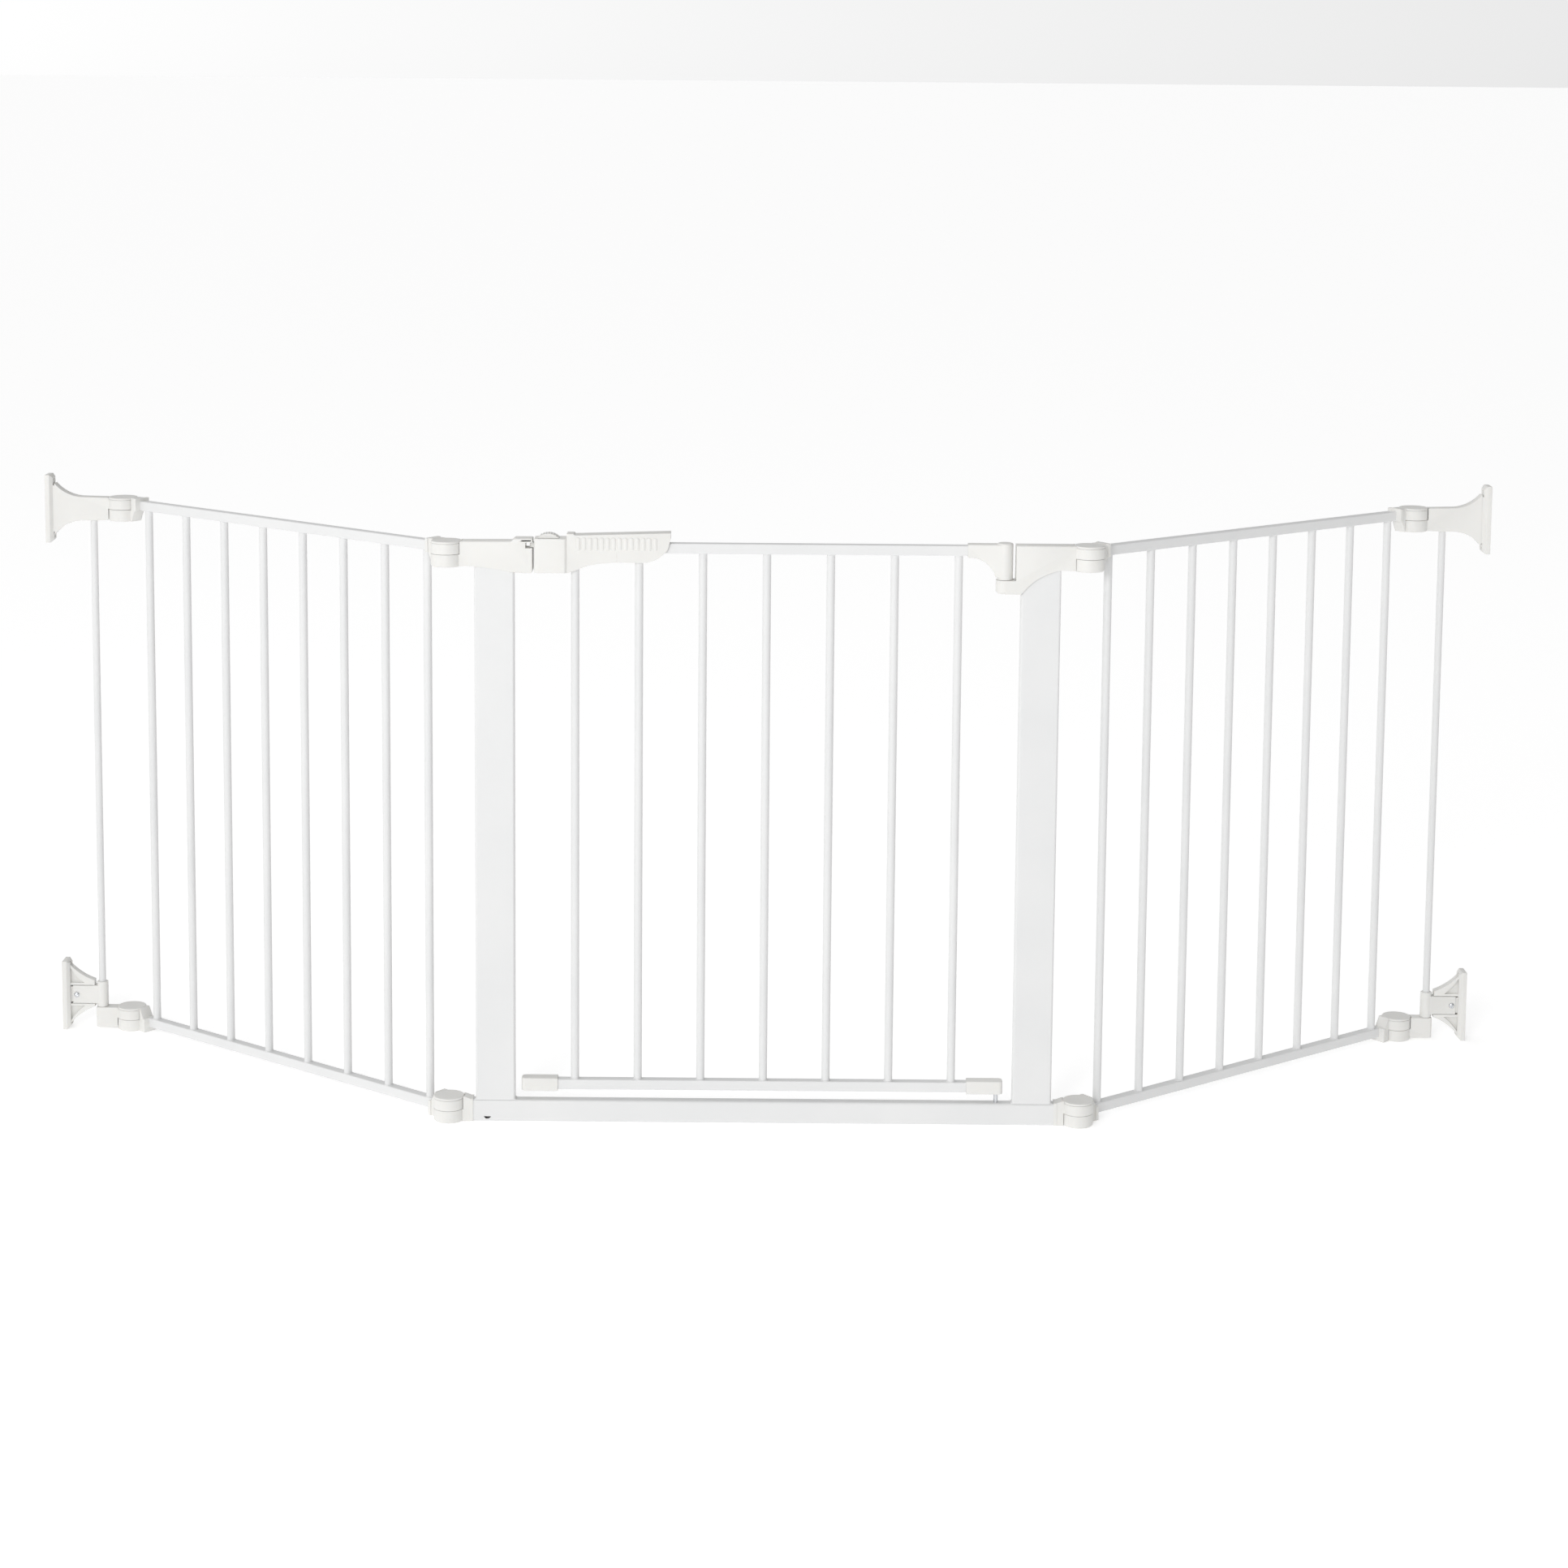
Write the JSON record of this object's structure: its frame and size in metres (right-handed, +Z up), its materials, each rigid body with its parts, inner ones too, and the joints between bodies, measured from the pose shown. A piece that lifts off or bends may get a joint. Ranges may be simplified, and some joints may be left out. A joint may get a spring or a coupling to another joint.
{
  "type": "safety baby gate",
  "caption": "Free-standing child safety gate: a barred swing door in a steel frame, with hinged barred side panels and adjustable wall mounts.",
  "frame": {"origin": "on the floor under the middle of the frame's bottom tube, in the plane of the hinge axes", "axes": "+X along the frame towards the door's hinge, +Y away from the room side, +Z up"},
  "size_m": [1.9494, 0.3993, 0.77],
  "materials": {
    "white_steel": "satin white powder coat",
    "white_plastic": "warm white, fine texture",
    "zinc_steel": "bright zinc plate"
  },
  "bodies": {
    "frame": {"sill_rail": "white_steel", "left_post": "white_steel", "right_post": "white_steel", "left_sill_end": "white_plastic", "right_sill_end": "white_plastic", "latch_housing": "white_plastic", "hinge_bracket": "white_plastic", "frame_hinge_fasteners": "zinc_steel", "frame_hinge_caps": "white_plastic", "bracket_screws": "zinc_steel", "door_hinge_pin": "zinc_steel"},
    "door": {"door_top_rail": "white_steel", "door_bottom_rail": "white_steel", "door_bars": "white_steel", "door_free_cap": "white_plastic", "door_pivot_cap": "white_plastic", "door_pivot_pin": "zinc_steel", "door_hinge_arm": "white_plastic", "handle_front": "white_plastic", "handle_back": "white_plastic", "handle_screws": "zinc_steel", "closer_spring": "zinc_steel", "latch_spring": "zinc_steel"},
    "latch": {"release_button": "white_plastic", "latch_bolt": "white_plastic"},
    "left_panel": {"left_panel_top_rail": "white_steel", "left_panel_bottom_rail": "white_steel", "left_panel_bars": "white_steel", "left_panel_upper_left_end": "white_plastic", "left_panel_lower_left_end": "white_plastic", "left_panel_upper_right_end": "white_plastic", "left_panel_lower_right_end": "white_plastic", "left_panel_hinge_fasteners": "zinc_steel", "left_panel_hinge_caps": "white_plastic"},
    "left_mount": {"left_wall_trumpet": "white_plastic", "left_wall_plate": "white_plastic", "left_wall_rod": "white_steel", "left_foot_arm": "white_plastic", "left_mount_bolts": "zinc_steel", "left_mount_caps": "white_plastic"},
    "left_sleeve": {"left_rod_sleeve": "white_plastic", "left_set_screw": "zinc_steel"},
    "left_bracket": {"left_wall_bracket": "white_plastic"},
    "right_panel": {"right_panel_top_rail": "white_steel", "right_panel_bottom_rail": "white_steel", "right_panel_bars": "white_steel", "right_panel_upper_left_end": "white_plastic", "right_panel_lower_left_end": "white_plastic", "right_panel_upper_right_end": "white_plastic", "right_panel_lower_right_end": "white_plastic", "right_panel_hinge_fasteners": "zinc_steel", "right_panel_hinge_caps": "white_plastic"},
    "right_mount": {"right_wall_trumpet": "white_plastic", "right_wall_plate": "white_plastic", "right_wall_rod": "white_steel", "right_foot_arm": "white_plastic", "right_mount_nuts": "zinc_steel"},
    "right_sleeve": {"right_rod_sleeve": "white_plastic", "right_set_screw": "zinc_steel"},
    "right_bracket": {"right_wall_bracket": "white_plastic"}
  },
  "joints": [
    {"name": "door_swing", "type": "hinge", "parent": "frame", "child": "door", "pos_m": [0.293, 0, 0], "axis": [0, 0, 1], "range_deg": [-90, 90], "stiffness_Nm_per_rad": 0.12},
    {"name": "release_slide", "type": "slide", "parent": "door", "child": "latch", "axis": [1, 0, 0], "range_m": [0, 0.007], "stiffness_N_per_m": 350, "springref_m": -0.004, "deforming": ["latch_spring"]},
    {"name": "left_panel_fold", "type": "hinge", "parent": "frame", "child": "left_panel", "pos_m": [-0.397, 0, 0], "axis": [0, 0, 1], "range_deg": [-50, 60]},
    {"name": "right_panel_fold", "type": "hinge", "parent": "frame", "child": "right_panel", "pos_m": [0.397, 0, 0], "axis": [0, 0, 1], "range_deg": [-60, 50]},
    {"name": "left_wall_swivel", "type": "hinge", "parent": "left_panel", "child": "left_mount", "pos_m": [-0.87173, 0.36034, 0], "axis": [0, 0, 1], "range_deg": [-60, 60]},
    {"name": "left_sleeve_swivel", "type": "hinge", "parent": "left_mount", "child": "left_sleeve", "pos_m": [-0.91173, 0.36034, 0], "axis": [0, 0, 1], "range_deg": [-45, 45]},
    {"name": "left_bracket_slide", "type": "slide", "parent": "left_sleeve", "child": "left_bracket", "axis": [-1, 0, 0], "range_m": [0, 0.012]},
    {"name": "right_wall_swivel", "type": "hinge", "parent": "right_panel", "child": "right_mount", "pos_m": [0.87173, 0.36034, 0], "axis": [0, 0, 1], "range_deg": [-60, 60]},
    {"name": "right_sleeve_swivel", "type": "hinge", "parent": "right_mount", "child": "right_sleeve", "pos_m": [0.91173, 0.36034, 0], "axis": [0, 0, 1], "range_deg": [-45, 45]},
    {"name": "right_bracket_slide", "type": "slide", "parent": "right_sleeve", "child": "right_bracket", "axis": [1, 0, 0], "range_m": [0, 0.012]}
  ]
}
